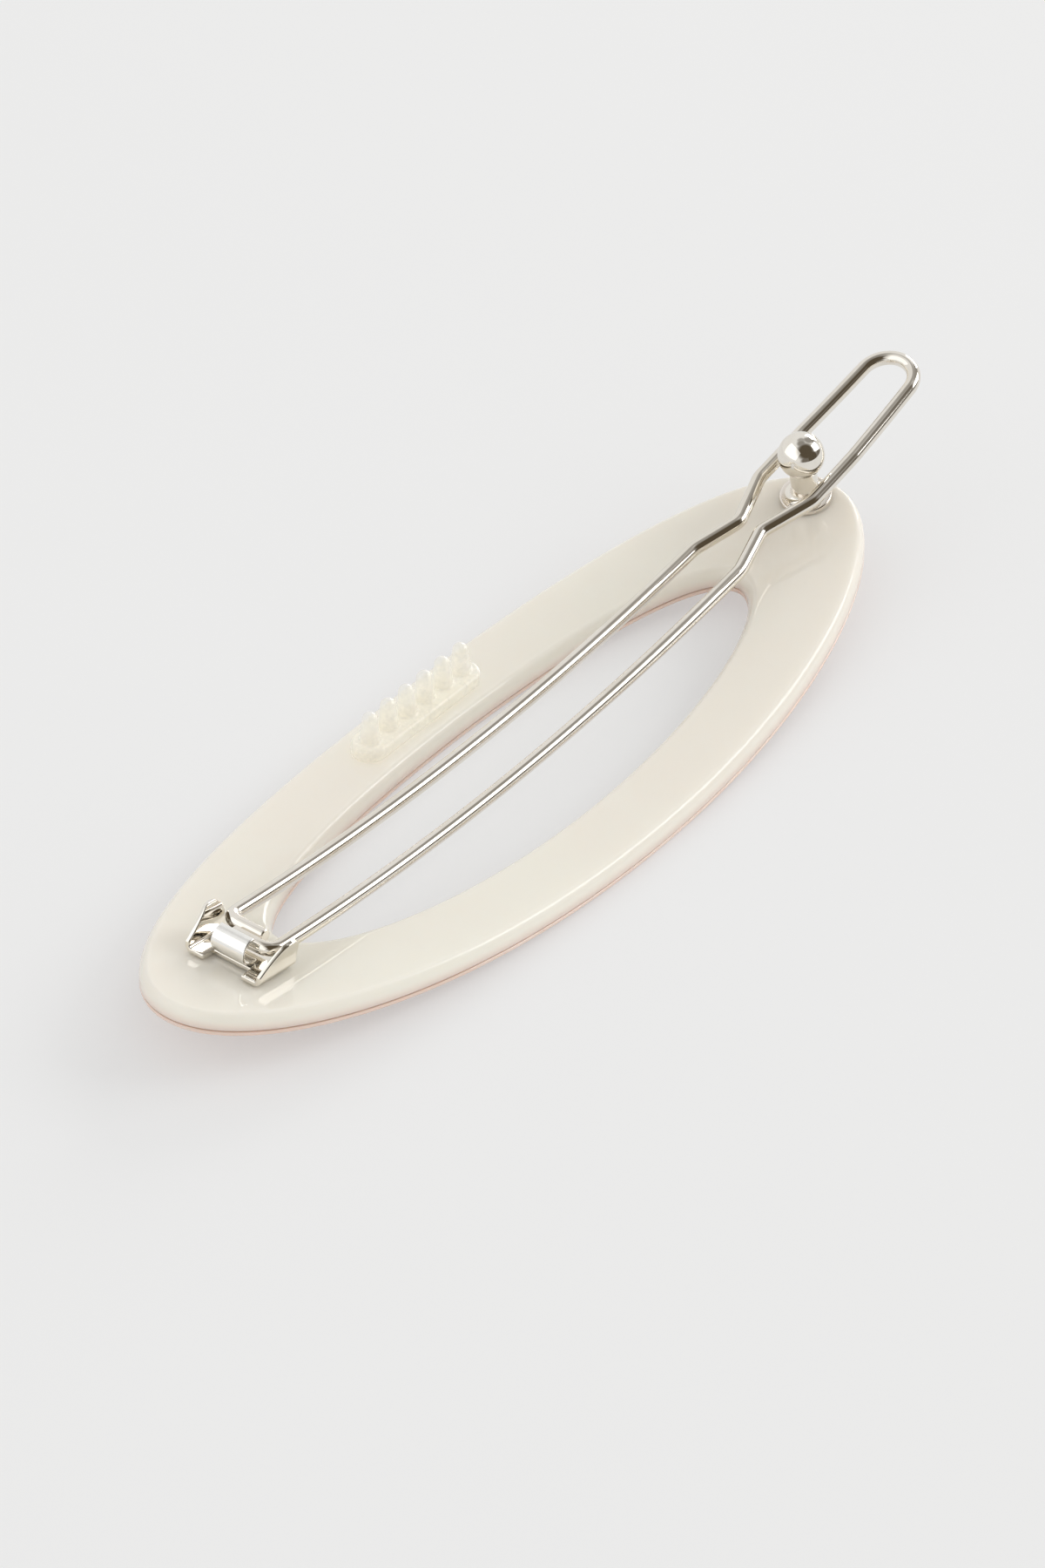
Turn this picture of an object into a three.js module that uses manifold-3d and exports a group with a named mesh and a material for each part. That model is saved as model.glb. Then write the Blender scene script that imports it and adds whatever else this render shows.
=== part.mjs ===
// Oval hair clip with a sprung wire catch: an arched ring laminated from two acetate layers, a bent
// wire loop on a stamped hinge, a ball post that the loop latches under, and a clear grip comb.
// Millimetres. +X runs from the hinge to the ball post, +Z points away from the arched front.
import * as THREE from 'three';
import { mergeVertices } from 'three/addons/utils/BufferGeometryUtils.js';
import Module from 'manifold-3d';

// Ring
const RING_LENGTH = 86;
const RING_WIDTH = 28;
const RING_SQUARENESS = 2.07; // exponent of the outer oval, 2 is an ellipse
const OPENING_LENGTH = 58.8;
const OPENING_WIDTH = 14.8;
const OPENING_SQUARENESS = 1.96;
const OPENING_SHIFT = 0.3; // towards the ball post
const ARCH_RADIUS = 234; // of the back face, along the length
const BACK_LAYER = 1.5;
const FACE_LAYER = 0.5;
const BACK_EDGE_ROUND = 1.1;
const FACE_EDGE_ROUND = 0.35;
const GLUE_LINE = 0.1; // between the two layers
const RING_STATIONS = 80;
const EDGE_STEPS = 4; // facets in each rounded edge
const WELD = 1e-5; // points closer than this are one

// Hinge
const HINGE_INSET = 9.7; // from the ring's end to the foot of the hinge axis
const BOND_GAP = 0.15; // adhesive film under the metal and the comb
const RUN_CLEARANCE = 0.15; // round the turning wire ends
const BRACKET_SHEET = 0.4; // stamped metal
const BRACKET_REAR = 3.15; // behind the axis
const BRACKET_FRONT = 1.3; // ahead of the axis
const FOLD_ROUND = 0.25; // inside of the folds between the base and the ears
const EAR_FLARE = 6; // radius of the ears' outward bow
const EAR_REAR = 0.9; // upright rear end of an ear, under its slope
const EAR_RISE = 1.25; // ear top above the axis
const EAR_TOP_LENGTH = 2.7;
const EAR_ROUND = 1.3;
const BEND_STEPS = 5; // facets in each bend and rounded corner
const NOTCH_DEPTH = 1.25; // in the base's rear edge, under the leaf's curl
const NOTCH_MARGIN = 0.25; // beside the leaf
const LEAF_SHEET = 0.25;
const LEAF_WIDTH = 3.3;
const LEAF_CURL = 1.05; // centreline radius of the leaf's curl
const LEAF_FOOT = 0.6; // flat foot ahead of the curl
const LEAF_REACH = 0.12; // free end ahead of the curl's centre
const LEAF_STEPS = 12;

// Wire loop
const WIRE = 1.2;
const WIRE_SIDES = 8;
const WIRE_STEPS = 300;
const WIRE_BOW_RADIUS = 209; // bow of the legs, along the length
const LEG_SPREAD = 5.5; // between wire centres at the hinge
const END_GAP = 0.1; // between the two turned-in ends, side by side
const END_OVERLAP = 1.1; // of each turned-in end past the middle
const END_BEND = 1.2; // centreline bend radius at the hinge
const THROAT_SPREAD = 4.77;
const THROAT_BEFORE_BALL = 11.6;
const WAIST_SPREAD = 2.2;
const WAIST_BEFORE_BALL = 7.05;
const EYE_BEFORE_BALL = 2.15; // where the eye reaches its full width
const EYE_AFTER_BALL = 3.7; // where the eye starts to narrow again
const EYE_CLEARANCE = 0.12; // between the wire and the ball as the eye passes over it
const TIP_SPREAD = 4.7;
const TIP_OVERHANG = 11; // loop tip past the ring's end
const THROAT_BEND = 3;
const WAIST_BEND = 1.6;
const EYE_BEND = 2.5;

// Ball post
const POST_INSET = 3; // from the ring's end to the post's foot
const POST_ASIDE = 0.7; // of the post from the ring's middle line, towards the comb
const BALL = 3.95;
const BALL_HEIGHT = 4.95; // centre above the back face
const LATCH_DROP = 1.84; // wire centre under the ball's centre, closed
const NECK = 2.3; // neck diameter
const NECK_FLARE = 0.6; // radius of the fillet from the neck to the foot
const FLARE_STEPS = 4;
const SHANK = 1.6; // riveted through the foot plate
const FOOT = 4.4; // foot plate diameter
const FOOT_THICKNESS = 0.4;
const FOOT_BEVEL = 0.15;
const SEAT_GAP = 0.2; // between the stud and its foot plate
const POST_SIDES = 28;
const BALL_STEPS = 12;

// Grip comb
const COMB_LENGTH = 14.9;
const COMB_DEPTH = 3.2;
const COMB_BASE = 1.1;
const COMB_TEETH = 6;
const COMB_PITCH = 2.32;
const COMB_SHIFT = 0.25; // of its middle, towards the ball post
const COMB_INWARD = 0.35; // of its middle, from the arm's middle towards the opening
const COMB_END_STEPS = 6; // facets in each rounded end
const TOOTH_ROOT = 1.8; // diameters of a tooth
const TOOTH_TIP = 1.35;
const TOOTH_HEIGHT = 3.85; // from the comb's underside
const TOOTH_SINK = 0.4; // root of a tooth inside the comb's base
const TOOTH_SIDES = 12;

// Finishes
const rose = { color: 0xe1b6a8, roughness: 0.15, metalness: 0 };
const ivory = { color: 0xe9e3d6, roughness: 0.12, metalness: 0 };
const nickel = { color: 0xc9c6bf, roughness: 0.14, metalness: 1 };
const springSteel = { color: 0xd6d3cc, roughness: 0.18, metalness: 1 };
const clearResin = { color: 0xece2c4, roughness: 0.2, metalness: 0, transparent: true, opacity: 0.6 };

const wasm = await Module();
wasm.setup();

const wireRadius = WIRE / 2;
const ballRadius = BALL / 2;

// Height of the arched back face over its lowest line.
function backFace(x) {
  return ARCH_RADIUS - Math.sqrt(ARCH_RADIUS ** 2 - x ** 2);
}

// A group that stands on the back face at x and y, its Z along the face's normal.
function standOnBack(x, y) {
  const group = new THREE.Group();
  group.position.set(x, y, backFace(x));
  group.rotation.y = -Math.asin(x / ARCH_RADIUS);
  group.updateMatrixWorld();
  return group;
}

function addMesh(group, name, geometry, finish) {
  const mesh = new THREE.Mesh(geometry, new THREE.MeshStandardMaterial(finish));
  mesh.name = name;
  group.add(mesh);
}

// A closed three.js geometry as a solid that can be joined.
function toSolid(geometry) {
  const bare = geometry.clone();
  bare.deleteAttribute('normal');
  bare.deleteAttribute('uv');
  const merged = mergeVertices(bare, WELD);
  return new wasm.Manifold(new wasm.Mesh({
    numProp: 3,
    vertProperties: Float32Array.from(merged.attributes.position.array),
    triVerts: Uint32Array.from(merged.index.array),
  }));
}

function toGeometry(solid) {
  const mesh = solid.getMesh();
  const geometry = new THREE.BufferGeometry();
  geometry.setAttribute('position', new THREE.BufferAttribute(mesh.vertProperties, 3));
  geometry.setIndex(new THREE.BufferAttribute(mesh.triVerts, 1));
  geometry.computeVertexNormals();
  return geometry;
}

// Point and outward normal of an oval at angle t.
function oval(length, width, squareness, shift, t) {
  const power = 2 / squareness;
  const along = Math.sign(Math.cos(t)) * Math.abs(Math.cos(t)) ** power;
  const across = Math.sign(Math.sin(t)) * Math.abs(Math.sin(t)) ** power;
  const slopeX = Math.sign(along) * Math.abs(along) ** (squareness - 1) / length;
  const slopeY = Math.sign(across) * Math.abs(across) ** (squareness - 1) / width;
  return {
    point: new THREE.Vector2(shift + along * length / 2, across * width / 2),
    normal: new THREE.Vector2(slopeX, slopeY).normalize(),
  };
}

// One layer of the ring: a section with two square and two rounded edges, carried round the oval.
// Heights are over the back face, and the edges at roundedAt are the rounded ones.
function ringLayer(squareAt, roundedAt, round) {
  const inward = Math.sign(squareAt - roundedAt);
  const section = [{ side: 'opening', inset: 0, height: squareAt }];
  for (const side of ['opening', 'rim']) {
    for (let step = 0; step <= EDGE_STEPS; step += 1) {
      const share = side === 'opening' ? step : EDGE_STEPS - step;
      const angle = share / EDGE_STEPS * Math.PI / 2;
      section.push({
        side,
        inset: round * (1 - Math.cos(angle)),
        height: roundedAt + inward * round * (1 - Math.sin(angle)),
      });
    }
  }
  section.push({ side: 'rim', inset: 0, height: squareAt });
  const positions = [];
  // Stations lie half a step off the axes, so that a flat facet lies across each arm's middle.
  for (let station = 0; station < RING_STATIONS; station += 1) {
    const t = (station + 0.5) / RING_STATIONS * Math.PI * 2;
    const rim = oval(RING_LENGTH, RING_WIDTH, RING_SQUARENESS, 0, t);
    const opening = oval(OPENING_LENGTH, OPENING_WIDTH, OPENING_SQUARENESS, OPENING_SHIFT, t);
    for (const { side, inset, height } of section) {
      const edge = side === 'rim' ? rim : opening;
      const offset = side === 'rim' ? -inset : inset;
      const place = edge.point.clone().addScaledVector(edge.normal, offset);
      positions.push(place.x, place.y, backFace(place.x) + height);
    }
  }
  const count = section.length;
  const faces = [];
  for (let station = 0; station < RING_STATIONS; station += 1) {
    const here = station * count;
    const next = (station + 1) % RING_STATIONS * count;
    for (let k = 0; k < count; k += 1) {
      const after = (k + 1) % count;
      const quad = [here + k, next + k, next + after, here + after];
      const [a, b, c, d] = inward < 0 ? quad : quad.reverse();
      faces.push(a, c, b, a, d, c);
    }
  }
  const geometry = new THREE.BufferGeometry();
  geometry.setAttribute('position', new THREE.Float32BufferAttribute(positions, 3));
  geometry.setIndex(faces);
  geometry.computeVertexNormals();
  return geometry;
}

// The layers of the ring, back face up.
function ring() {
  const group = new THREE.Group();
  const seam = -BACK_LAYER;
  const faceTop = seam - GLUE_LINE;
  addMesh(group, 'back_layer', ringLayer(seam, 0, BACK_EDGE_ROUND), ivory);
  addMesh(group, 'face_layer', ringLayer(faceTop, faceTop - FACE_LAYER, FACE_EDGE_ROUND), rose);
  return group;
}

// Hinge axis: the turned-in wire ends lie side by side, half a pitch before and behind it.
const endOffset = (WIRE + END_GAP) / 2;
const endSweep = endOffset + wireRadius;
const baseTop = BOND_GAP + BRACKET_SHEET;
const axisHeight = baseTop + RUN_CLEARANCE + endSweep;
const hingeFoot = standOnBack(HINGE_INSET - RING_LENGTH / 2, 0);
const hingeAxis = hingeFoot.localToWorld(new THREE.Vector3(0, 0, axisHeight));

// Stamped bracket, one side of its cross-section as centreline points with their normals, from the
// middle of the base out: the fold is a quarter circle and the ear bows outwards.
function bracketSide() {
  const half = BRACKET_SHEET / 2;
  const foldRadius = FOLD_ROUND + half;
  const foldTop = BOND_GAP + half + foldRadius;
  const earBow = (height) => EAR_FLARE - Math.sqrt(EAR_FLARE ** 2 - (height - foldTop) ** 2);
  const innerBow = EAR_FLARE + half - Math.sqrt((EAR_FLARE + half) ** 2 - (axisHeight - foldTop) ** 2);
  const earFoot = LEG_SPREAD / 2 + wireRadius + RUN_CLEARANCE - innerBow + half;
  const side = [{ y: 0, z: BOND_GAP + half, normalY: 0, normalZ: 1 }];
  for (let step = 0; step <= BEND_STEPS; step += 1) {
    const angle = step / BEND_STEPS * Math.PI / 2;
    side.push({
      y: earFoot - foldRadius * (1 - Math.sin(angle)),
      z: foldTop - foldRadius * Math.cos(angle),
      normalY: -Math.sin(angle),
      normalZ: Math.cos(angle),
    });
  }
  for (let step = 1; step <= BEND_STEPS; step += 1) {
    const z = foldTop + (axisHeight + EAR_RISE + half - foldTop) * step / BEND_STEPS;
    const lean = Math.asin((z - foldTop) / EAR_FLARE);
    side.push({ y: earFoot + earBow(z), z, normalY: -Math.cos(lean), normalZ: Math.sin(lean) });
  }
  return side;
}

// Stamped bracket: the folded section carried along X, cut to the ears' outline, with a notch in its rear.
function bracket() {
  const half = BRACKET_SHEET / 2;
  const length = BRACKET_REAR + BRACKET_FRONT;
  const side = bracketSide();
  const width = (side.at(-1).y + BRACKET_SHEET) * 2;
  const mirrored = side.slice(1).reverse().map((at) => ({ ...at, y: -at.y, normalY: -at.normalY }));
  const whole = [...mirrored, ...side];
  const offset = (at, by) => new THREE.Vector2(at.y + at.normalY * by, at.z + at.normalZ * by);
  const section = new THREE.Shape([
    ...whole.map((at) => offset(at, -half)),
    ...whole.map((at) => offset(at, half)).reverse(),
  ]);
  const channel = new THREE.ExtrudeGeometry(section, { depth: length, bevelEnabled: false });
  channel.rotateX(Math.PI / 2);
  channel.rotateZ(Math.PI / 2);
  channel.translate(-BRACKET_REAR, 0, 0);

  // The rear slope of an ear is tangent to its rounded top corner.
  const earTop = axisHeight + EAR_RISE;
  const roundX = BRACKET_FRONT - EAR_TOP_LENGTH + EAR_ROUND;
  const roundZ = earTop - EAR_ROUND;
  const rearTop = BOND_GAP + EAR_REAR;
  const toRear = Math.atan2(rearTop - roundZ, -BRACKET_REAR - roundX) + Math.PI * 2;
  const rearTouch = toRear - Math.acos(EAR_ROUND / Math.hypot(rearTop - roundZ, -BRACKET_REAR - roundX));
  const outline = new THREE.Shape();
  outline.moveTo(-BRACKET_REAR, 0);
  outline.lineTo(BRACKET_FRONT, 0);
  outline.lineTo(BRACKET_FRONT, roundZ);
  outline.absarc(BRACKET_FRONT - EAR_ROUND, roundZ, EAR_ROUND, 0, Math.PI / 2);
  outline.absarc(roundX, roundZ, EAR_ROUND, Math.PI / 2, rearTouch);
  outline.lineTo(-BRACKET_REAR, rearTop);
  outline.closePath();
  const envelope = new THREE.ExtrudeGeometry(outline, {
    depth: width,
    bevelEnabled: false,
    curveSegments: BEND_STEPS,
  });
  envelope.rotateX(Math.PI / 2);
  envelope.translate(0, width / 2, 0);

  const notch = new THREE.BoxGeometry(NOTCH_DEPTH * 2, LEAF_WIDTH + NOTCH_MARGIN * 2, BRACKET_SHEET * 3);
  notch.translate(-BRACKET_REAR, 0, BOND_GAP + half);
  return toGeometry(toSolid(channel).intersect(toSolid(envelope)).subtract(toSolid(notch)));
}

// Leaf spring: a foot on the base plate, a curl behind the wire ends and a free end over them.
function springLeaf() {
  const footBottom = baseTop + BOND_GAP;
  const sweep = endSweep + RUN_CLEARANCE;
  const footEnd = -Math.sqrt(sweep ** 2 - (axisHeight - footBottom - LEAF_SHEET) ** 2);
  const curlX = footEnd - LEAF_FOOT;
  const curlZ = footBottom + LEAF_SHEET / 2 + LEAF_CURL;
  const outside = LEAF_CURL + LEAF_SHEET / 2;
  const inside = LEAF_CURL - LEAF_SHEET / 2;
  const leaf = new THREE.Shape();
  leaf.moveTo(curlX + LEAF_FOOT, curlZ - outside);
  leaf.lineTo(curlX + LEAF_FOOT, curlZ - inside);
  leaf.lineTo(curlX, curlZ - inside);
  leaf.absarc(curlX, curlZ, inside, Math.PI * 1.5, Math.PI / 2, true);
  leaf.lineTo(curlX + LEAF_REACH, curlZ + inside);
  leaf.lineTo(curlX + LEAF_REACH, curlZ + outside);
  leaf.lineTo(curlX, curlZ + outside);
  leaf.absarc(curlX, curlZ, outside, Math.PI / 2, Math.PI * 1.5, false);
  leaf.closePath();
  const strip = new THREE.ExtrudeGeometry(leaf, {
    depth: LEAF_WIDTH,
    bevelEnabled: false,
    curveSegments: LEAF_STEPS,
  });
  strip.rotateX(Math.PI / 2);
  strip.translate(0, LEAF_WIDTH / 2, 0);
  return strip;
}

// Ball post: its axis stands square to the back face near the ring's end.
const postFoot = standOnBack(RING_LENGTH / 2 - POST_INSET, POST_ASIDE);
const ballCentre = postFoot.localToWorld(new THREE.Vector3(0, 0, BALL_HEIGHT));
const latch = postFoot.localToWorld(new THREE.Vector3(0, 0, BALL_HEIGHT - LATCH_DROP));
const footTop = BOND_GAP + FOOT_THICKNESS;

function footPlate() {
  const bore = SHANK / 2 + SEAT_GAP;
  return new THREE.LatheGeometry([
    new THREE.Vector2(bore, BOND_GAP),
    new THREE.Vector2(FOOT / 2, BOND_GAP),
    new THREE.Vector2(FOOT / 2, footTop - FOOT_BEVEL),
    new THREE.Vector2(FOOT / 2 - FOOT_BEVEL, footTop),
    new THREE.Vector2(bore, footTop),
    new THREE.Vector2(bore, BOND_GAP),
  ], POST_SIDES).rotateX(Math.PI / 2);
}

// Stud: a shank through the foot plate, a neck that flares to the foot, and the ball.
function ballStud() {
  const shoulder = footTop + SEAT_GAP;
  const outline = [
    new THREE.Vector2(0, BOND_GAP),
    new THREE.Vector2(SHANK / 2, BOND_GAP),
    new THREE.Vector2(SHANK / 2, shoulder),
  ];
  for (let step = 0; step <= FLARE_STEPS; step += 1) {
    const angle = step / FLARE_STEPS * Math.PI / 2;
    const radius = NECK / 2 + NECK_FLARE * (1 - Math.sin(angle));
    outline.push(new THREE.Vector2(radius, shoulder + NECK_FLARE * (1 - Math.cos(angle))));
  }
  const neckAngle = Math.asin(NECK / BALL);
  for (let step = 0; step < BALL_STEPS; step += 1) {
    const angle = neckAngle + (Math.PI - neckAngle) * step / BALL_STEPS;
    const height = BALL_HEIGHT - ballRadius * Math.cos(angle);
    outline.push(new THREE.Vector2(ballRadius * Math.sin(angle), height));
  }
  outline.push(new THREE.Vector2(0, BALL_HEIGHT + ballRadius));
  return new THREE.LatheGeometry(outline, POST_SIDES).rotateX(Math.PI / 2);
}

// Height of the wire: an arc of the bow radius through the hinge axis and the latch.
function wireHeight(x) {
  const chord = new THREE.Vector2(latch.x - hingeAxis.x, latch.z - hingeAxis.z);
  const rise = Math.sqrt(WIRE_BOW_RADIUS ** 2 - chord.lengthSq() / 4);
  const up = new THREE.Vector2(-chord.y, chord.x).normalize();
  const centreX = (latch.x + hingeAxis.x) / 2 + up.x * rise;
  const centreZ = (latch.z + hingeAxis.z) / 2 + up.y * rise;
  return centreZ - Math.sqrt(WIRE_BOW_RADIUS ** 2 - (x - centreX) ** 2);
}

// A line through corners [x, y, radius], each rounded by a curve tangent to both sides.
function roundedPath(corners) {
  const path = new THREE.Path();
  const points = corners.map(([x, y]) => new THREE.Vector2(x, y));
  path.moveTo(points[0].x, points[0].y);
  for (let k = 1; k < points.length - 1; k += 1) {
    const back = points[k - 1].clone().sub(points[k]).normalize();
    const ahead = points[k + 1].clone().sub(points[k]).normalize();
    const half = Math.acos(THREE.MathUtils.clamp(back.dot(ahead), -1, 1)) / 2;
    const tangent = corners[k][2] / Math.tan(half);
    const start = points[k].clone().addScaledVector(back, tangent);
    const end = points[k].clone().addScaledVector(ahead, tangent);
    path.lineTo(start.x, start.y);
    path.quadraticCurveTo(points[k].x, points[k].y, end.x, end.y);
  }
  const last = points.at(-1);
  path.lineTo(last.x, last.y);
  return path;
}

// The wire loop: two ends turned in under the leaf, two legs, a waist, an eye round the post and
// a round tip. One leg's end lies ahead of the hinge axis, the other's behind it. The loop leans
// aside, so that its eye lies round the ball.
function wireLoop() {
  const eyeSpread = BALL + WIRE + EYE_CLEARANCE * 2;
  const tipX = RING_LENGTH / 2 + TIP_OVERHANG - wireRadius;
  const bendX = tipX - TIP_SPREAD / 2;
  const legCorners = (endX) => [
    [endX, -END_OVERLAP, 0],
    [endX, LEG_SPREAD / 2, END_BEND],
    [ballCentre.x - THROAT_BEFORE_BALL, THROAT_SPREAD / 2, THROAT_BEND],
    [ballCentre.x - WAIST_BEFORE_BALL, WAIST_SPREAD / 2, WAIST_BEND],
    [ballCentre.x - EYE_BEFORE_BALL, eyeSpread / 2, EYE_BEND],
    [ballCentre.x + EYE_AFTER_BALL, eyeSpread / 2, EYE_BEND],
    [bendX, TIP_SPREAD / 2, 0],
  ];
  const plan = new THREE.CurvePath();
  const leg = roundedPath(legCorners(hingeAxis.x + endOffset));
  const otherLeg = roundedPath(legCorners(hingeAxis.x - endOffset));
  const tipRadius = TIP_SPREAD / 2;
  const tip = new THREE.EllipseCurve(bendX, 0, tipRadius, tipRadius, Math.PI / 2, -Math.PI / 2, true);
  plan.add(leg);
  plan.add(tip);
  const forward = plan.getSpacedPoints(WIRE_STEPS);
  const backward = otherLeg.getSpacedPoints(WIRE_STEPS).reverse();
  const aside = (x) => ballCentre.y * (x - hingeAxis.x) / (ballCentre.x - hingeAxis.x);
  const lift = (x, y) => new THREE.Vector3(x, y + aside(x), wireHeight(x));
  const line = new THREE.CatmullRomCurve3([
    ...forward.map(({ x, y }) => lift(x, y)),
    ...backward.slice(1).map(({ x, y }) => lift(x, -y)),
  ], false, 'centripetal');
  const section = new THREE.Shape();
  section.absarc(0, 0, wireRadius, 0, Math.PI * 2);
  return new THREE.ExtrudeGeometry(section, {
    steps: WIRE_STEPS,
    curveSegments: WIRE_SIDES / 2,
    extrudePath: line,
    bevelEnabled: false,
  });
}

// Grip comb: a round-ended strip with a row of tapered, round-topped teeth, on one arm of the ring.
function gripComb() {
  const end = COMB_LENGTH / 2 - COMB_DEPTH / 2;
  const plan = new THREE.Shape();
  plan.absarc(end, 0, COMB_DEPTH / 2, -Math.PI / 2, Math.PI / 2);
  plan.absarc(-end, 0, COMB_DEPTH / 2, Math.PI / 2, Math.PI * 1.5);
  plan.closePath();
  const strip = new THREE.ExtrudeGeometry(plan, {
    depth: COMB_BASE,
    bevelEnabled: false,
    curveSegments: COMB_END_STEPS,
  });
  const tipRadius = TOOTH_TIP / 2;
  const shoulder = TOOTH_HEIGHT - tipRadius;
  const outline = [
    new THREE.Vector2(0, COMB_BASE - TOOTH_SINK),
    new THREE.Vector2(TOOTH_ROOT / 2, COMB_BASE - TOOTH_SINK),
    new THREE.Vector2(tipRadius, shoulder),
    new THREE.Vector2(tipRadius * Math.SQRT1_2, shoulder + tipRadius * Math.SQRT1_2),
    new THREE.Vector2(0, TOOTH_HEIGHT),
  ];
  const teeth = Array.from({ length: COMB_TEETH }, (_, k) => {
    const tooth = new THREE.LatheGeometry(outline, TOOTH_SIDES).rotateX(Math.PI / 2);
    return tooth.translate((k - (COMB_TEETH - 1) / 2) * COMB_PITCH, 0, 0);
  });
  return toGeometry(teeth.reduce((whole, tooth) => whole.add(toSolid(tooth)), toSolid(strip)));
}

const clip = new THREE.Group();
clip.add(ring());

addMesh(hingeFoot, 'hinge_bracket', bracket(), nickel);
addMesh(hingeFoot, 'spring_leaf', springLeaf(), springSteel);
clip.add(hingeFoot);

addMesh(postFoot, 'post_plate', footPlate(), nickel);
addMesh(postFoot, 'ball_stud', ballStud(), nickel);
clip.add(postFoot);

addMesh(clip, 'wire_loop', wireLoop(), nickel);

const combSeat = new THREE.Group();
const armMiddle = (RING_WIDTH + OPENING_WIDTH) / 4;
const combEnd = COMB_LENGTH / 2 + Math.abs(COMB_SHIFT);
combSeat.position.set(COMB_SHIFT, armMiddle - COMB_INWARD, backFace(combEnd) + BOND_GAP);
addMesh(combSeat, 'grip_comb', gripComb(), clearResin);
clip.add(combSeat);

// The clip lies on its arched front, with its origin under the middle of its outline.
const outline = new THREE.Box3().setFromObject(clip);
clip.position.set(-(outline.min.x + outline.max.x) / 2, 0, -outline.min.z);
clip.updateMatrixWorld(true);

export default clip;
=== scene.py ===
import bpy
import numpy as np
from mathutils import Matrix, Vector


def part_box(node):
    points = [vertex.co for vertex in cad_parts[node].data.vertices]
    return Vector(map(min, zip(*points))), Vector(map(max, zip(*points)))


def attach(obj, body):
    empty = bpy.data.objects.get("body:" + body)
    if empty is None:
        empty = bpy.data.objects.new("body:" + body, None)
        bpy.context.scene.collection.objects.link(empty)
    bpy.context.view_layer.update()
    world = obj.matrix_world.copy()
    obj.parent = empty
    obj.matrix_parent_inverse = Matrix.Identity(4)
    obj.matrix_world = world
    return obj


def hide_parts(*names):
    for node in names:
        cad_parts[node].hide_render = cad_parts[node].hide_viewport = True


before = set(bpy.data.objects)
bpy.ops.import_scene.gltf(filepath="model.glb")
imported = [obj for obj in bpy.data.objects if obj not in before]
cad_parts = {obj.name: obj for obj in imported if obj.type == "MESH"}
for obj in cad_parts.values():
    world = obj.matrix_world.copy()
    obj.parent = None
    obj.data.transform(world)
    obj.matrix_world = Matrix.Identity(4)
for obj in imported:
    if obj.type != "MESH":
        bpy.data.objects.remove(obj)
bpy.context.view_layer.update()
print("frame loaded:", len(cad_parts), "nodes")

scene = bpy.context.scene
mm = 0.001
tiny = 1e-9  # keeps divisions and comparisons off zero

# Shapes are worked out in millimetres about the ring's middle, on the lowest line of its back face.
ringDepth = 2.1  # through both layers
backLow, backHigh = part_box("back_layer")
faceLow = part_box("face_layer")[0]
ringMiddle = np.array([(backLow.x + backHigh.x) / 2, 0, faceLow.z + ringDepth * mm])


# millimetres about the ring's middle to metres in the frame
def toFrame(points):
    return np.asarray(points) * mm + ringMiddle


# vectors divided by their lengths
def unit(vectors):
    return vectors / np.linalg.norm(vectors, axis=-1, keepdims=True)


# faces of a grid: each quad joins a row to the next row and a column to the next column
def gridFaces(rows, columns, wrapRows=False, wrapColumns=True, start=0):
    r, c = np.meshgrid(np.arange(rows if wrapRows else rows - 1),
                       np.arange(columns if wrapColumns else columns - 1), indexing="ij")
    below, beside = (r + 1) % rows, (c + 1) % columns
    quads = [r * columns + c, below * columns + c, below * columns + beside, r * columns + beside]
    return start + np.stack(quads, -1).reshape(-1, 4)


# triangles from one pole point to each pair of neighbours on a ring of points
def poleFaces(pole, ring, turned):
    after = np.roll(ring, -1)
    corners = [np.full_like(ring, pole), ring, after]
    return np.stack(corners[::-1] if turned else corners, -1)


# six times the volume inside a closed mesh, positive where its faces point outwards
def signedVolume(points, faces):
    total = 0.0
    for k in range(1, faces.shape[1] - 1):
        a, b, c = points[faces[:, 0]], points[faces[:, k]], points[faces[:, k + 1]]
        total += np.einsum("ij,ij->", a, np.cross(b, c))
    return total


# a piece that stands for one CAD node: points in mm, groups of faces, smooth apart from its sharp edges
def makePiece(name, node, body, material, points, faceGroups, sharpAngle=38, uv=None):
    middle = points - points.mean(0)
    if sum(signedVolume(middle, faces) for faces in faceGroups) < 0:
        faceGroups = [faces[:, ::-1] for faces in faceGroups]
    mesh = bpy.data.meshes.new(name)
    mesh.from_pydata(toFrame(points).tolist(), [], [f for faces in faceGroups for f in faces.tolist()])
    if uv is not None:
        corners = np.empty(len(mesh.loops), np.int32)
        mesh.loops.foreach_get("vertex_index", corners)
        mesh.uv_layers.new(name="along").data.foreach_set("uv", uv[corners].astype(np.float32).ravel())
    mesh.polygons.foreach_set("use_smooth", np.ones(len(mesh.polygons), bool))
    mesh.set_sharp_from_angle(angle=np.radians(sharpAngle))
    mesh.materials.append(material)
    mesh.validate()
    mesh.update()
    piece = bpy.data.objects.new(name, mesh)
    scene.collection.objects.link(piece)
    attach(piece, body)
    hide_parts(node)
    print(name, len(mesh.polygons), "faces")


# a tube grid with a pole point on each end, as points and face groups
def closedTube(grid, poles):
    rows, columns = grid.shape[:2]
    points = np.concatenate([grid.reshape(-1, 3), np.asarray(poles)])
    first = np.arange(columns)
    last = first + (rows - 1) * columns
    return points, [gridFaces(rows, columns),
                    np.concatenate([poleFaces(rows * columns, first, False),
                                    poleFaces(rows * columns + 1, last, True)])]


# distance along a row of points
def arcLength(line):
    return np.concatenate([[0], np.cumsum(np.linalg.norm(np.diff(line, axis=0), axis=1))])


# the same line with points at the given distances along it
def pointsAt(line, distances):
    length = arcLength(line)
    return np.stack([np.interp(distances, length, line[:, k]) for k in range(line.shape[1])], -1)


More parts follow.
